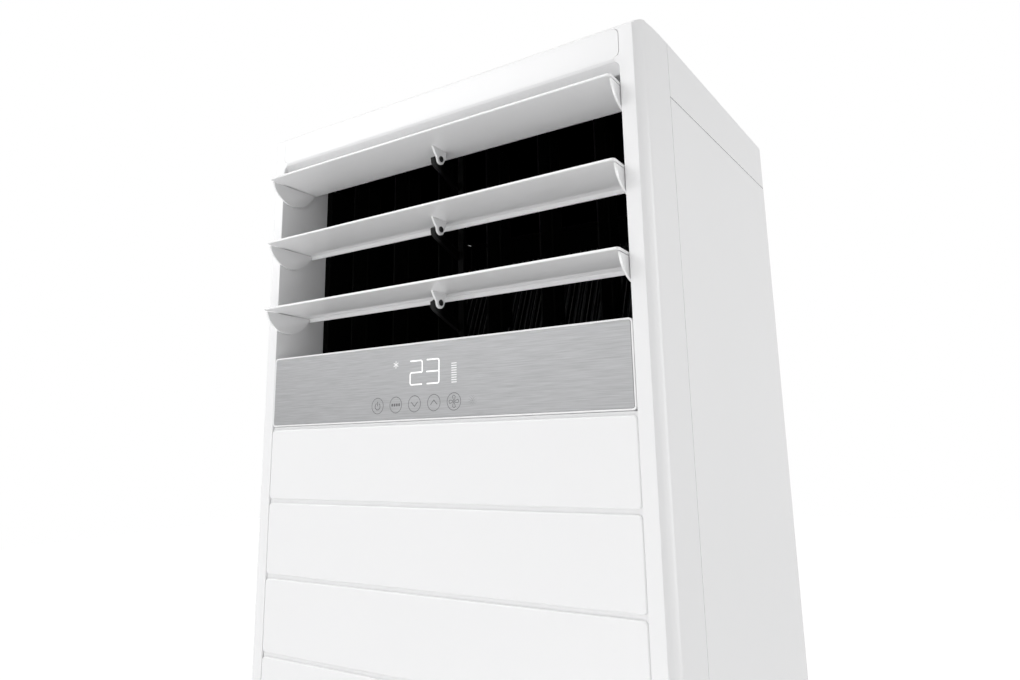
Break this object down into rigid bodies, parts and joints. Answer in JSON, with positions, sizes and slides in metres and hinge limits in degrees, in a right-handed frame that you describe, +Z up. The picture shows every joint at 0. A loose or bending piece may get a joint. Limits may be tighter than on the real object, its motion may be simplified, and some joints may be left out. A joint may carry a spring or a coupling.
{
  "type": "floor standing air conditioner",
  "caption": "Tall free standing indoor air conditioner: swinging horizontal louvers over a control panel, vertical vanes behind them, and a tilting intake grille below.",
  "frame": {"origin": "on the floor, under the middle of the whole object's box", "axes": "+Z up, +X to the right seen from the front, +Y from the front to the back"},
  "size_m": [0.59, 0.5188, 1.84],
  "materials": {
    "white_plastic": "satin moulded white",
    "white_steel": "fine powder coat",
    "brushed_panel": "horizontally brushed",
    "black_plastic": "matt moulded black",
    "dark_plastic": "matt dark grey",
    "grey_plastic": "matt grey",
    "galvanised": "zinc coated sheet",
    "fins": "stacked fins",
    "copper": "bright copper tube",
    "board": "solder mask"
  },
  "bodies": {
    "cabinet": {"front_frame": "white_plastic", "top_trim": "white_plastic", "panel_bezel": "white_plastic", "panel_face": "brushed_panel", "display_board": "black_plastic", "front_panel": "white_plastic", "plinth": "white_plastic", "side_panel_left": "white_steel", "side_panel_right": "white_steel", "rear_panel": "galvanised", "top_cover": "white_steel", "base_pan": "galvanised", "filter_frame": "grey_plastic", "louver_motor": "dark_plastic", "louver_support": "black_plastic", "outlet_throat": "black_plastic", "vane_motor": "dark_plastic", "evaporator_fins": "fins", "coil_end_left": "copper", "coil_end_right": "copper", "coil_guard": "black_plastic", "drain_pan": "grey_plastic", "divider_shelf": "galvanised", "blower_scroll": "grey_plastic", "bell_mouth": "grey_plastic", "fan_motor": "dark_plastic", "motor_bracket": "galvanised", "blower_stand": "galvanised", "gas_pipe": "copper", "liquid_pipe": "copper", "drain_hose": "grey_plastic", "inner_plate": "galvanised", "control_box": "galvanised", "control_box_lid": "galvanised", "main_board": "board", "terminal_block": "black_plastic", "cable_gland": "black_plastic", "wall_bracket": "galvanised", "catch_magnet_left": "black_plastic", "catch_magnet_right": "black_plastic"},
    "intake_grille": {"intake_grille": "white_plastic"},
    "filter_left": {"filter_left": "dark_plastic"},
    "filter_right": {"filter_right": "dark_plastic"},
    "louver_top": {"louver_top": "white_plastic"},
    "louver_middle": {"louver_middle": "white_plastic"},
    "louver_bottom": {"louver_bottom": "white_plastic"},
    "louver_link": {"louver_link": "grey_plastic"},
    "vane_tie_bar": {"vane_tie_bar": "black_plastic"},
    "blower_wheel": {"blower_wheel": "dark_plastic"},
    "vane_1": {"vane_1": "black_plastic"},
    "vane_2": {"vane_2": "black_plastic"},
    "vane_3": {"vane_3": "black_plastic"},
    "vane_4": {"vane_4": "black_plastic"},
    "vane_5": {"vane_5": "black_plastic"},
    "vane_6": {"vane_6": "black_plastic"}
  },
  "joints": [
    {"name": "louver_swing", "type": "hinge", "parent": "cabinet", "child": "louver_top", "pos_m": [0, -0.20835, 1.7435], "axis": [1, 0, 0], "range_deg": [-8, 78]},
    {"name": "louver_middle_swing", "type": "hinge", "parent": "cabinet", "child": "louver_middle", "pos_m": [0, -0.20835, 1.6491], "axis": [1, 0, 0], "range_deg": [-8, 78]},
    {"name": "louver_bottom_swing", "type": "hinge", "parent": "cabinet", "child": "louver_bottom", "pos_m": [0, -0.20835, 1.5547], "axis": [1, 0, 0], "range_deg": [-8, 78]},
    {"name": "louver_link_turn", "type": "hinge", "parent": "louver_top", "child": "louver_link", "pos_m": [0.279, -0.19435, 1.7435], "axis": [1, 0, 0], "range_deg": [-78, 8]},
    {"name": "vane_swing", "type": "hinge", "parent": "cabinet", "child": "vane_1", "pos_m": [-0.20075, -0.13415, 1.645], "axis": [0, 0, 1], "range_deg": [-30, 30]},
    {"name": "vane_2_swing", "type": "hinge", "parent": "cabinet", "child": "vane_2", "pos_m": [-0.12045, -0.13415, 1.645], "axis": [0, 0, 1], "range_deg": [-30, 30]},
    {"name": "vane_3_swing", "type": "hinge", "parent": "cabinet", "child": "vane_3", "pos_m": [-0.04015, -0.13415, 1.645], "axis": [0, 0, 1], "range_deg": [-30, 30]},
    {"name": "vane_4_swing", "type": "hinge", "parent": "cabinet", "child": "vane_4", "pos_m": [0.04015, -0.13415, 1.645], "axis": [0, 0, 1], "range_deg": [-30, 30]},
    {"name": "vane_5_swing", "type": "hinge", "parent": "cabinet", "child": "vane_5", "pos_m": [0.12045, -0.13415, 1.645], "axis": [0, 0, 1], "range_deg": [-30, 30]},
    {"name": "vane_6_swing", "type": "hinge", "parent": "cabinet", "child": "vane_6", "pos_m": [0.20075, -0.13415, 1.645], "axis": [0, 0, 1], "range_deg": [-30, 30]},
    {"name": "vane_tie_bar_turn", "type": "hinge", "parent": "vane_1", "child": "vane_tie_bar", "pos_m": [-0.20075, -0.11215, 1.519], "axis": [0, 0, 1], "range_deg": [-30, 30]},
    {"name": "blower_spin", "type": "hinge", "parent": "cabinet", "child": "blower_wheel", "pos_m": [0, 0.07505, 0.43], "axis": [0, 1, 0], "continuous": true},
    {"name": "grille_tilt", "type": "hinge", "parent": "cabinet", "child": "intake_grille", "pos_m": [0, -0.22845, 0.0932], "axis": [1, 0, 0], "range_deg": [0, 35]},
    {"name": "filter_left_lift", "type": "slide", "parent": "cabinet", "child": "filter_left", "axis": [0, 0, 1], "range_m": [0, 0.022]},
    {"name": "filter_right_lift", "type": "slide", "parent": "cabinet", "child": "filter_right", "axis": [0, 0, 1], "range_m": [0, 0.022]}
  ],
  "couplings": [
    {"joint": "louver_middle_swing", "follows": "louver_swing", "ratio": 1},
    {"joint": "louver_bottom_swing", "follows": "louver_swing", "ratio": 1},
    {"joint": "louver_link_turn", "follows": "louver_swing", "ratio": -1},
    {"joint": "vane_2_swing", "follows": "vane_swing", "ratio": 1},
    {"joint": "vane_3_swing", "follows": "vane_swing", "ratio": 1},
    {"joint": "vane_4_swing", "follows": "vane_swing", "ratio": 1},
    {"joint": "vane_5_swing", "follows": "vane_swing", "ratio": 1},
    {"joint": "vane_6_swing", "follows": "vane_swing", "ratio": 1},
    {"joint": "vane_tie_bar_turn", "follows": "vane_swing", "ratio": -1}
  ]
}
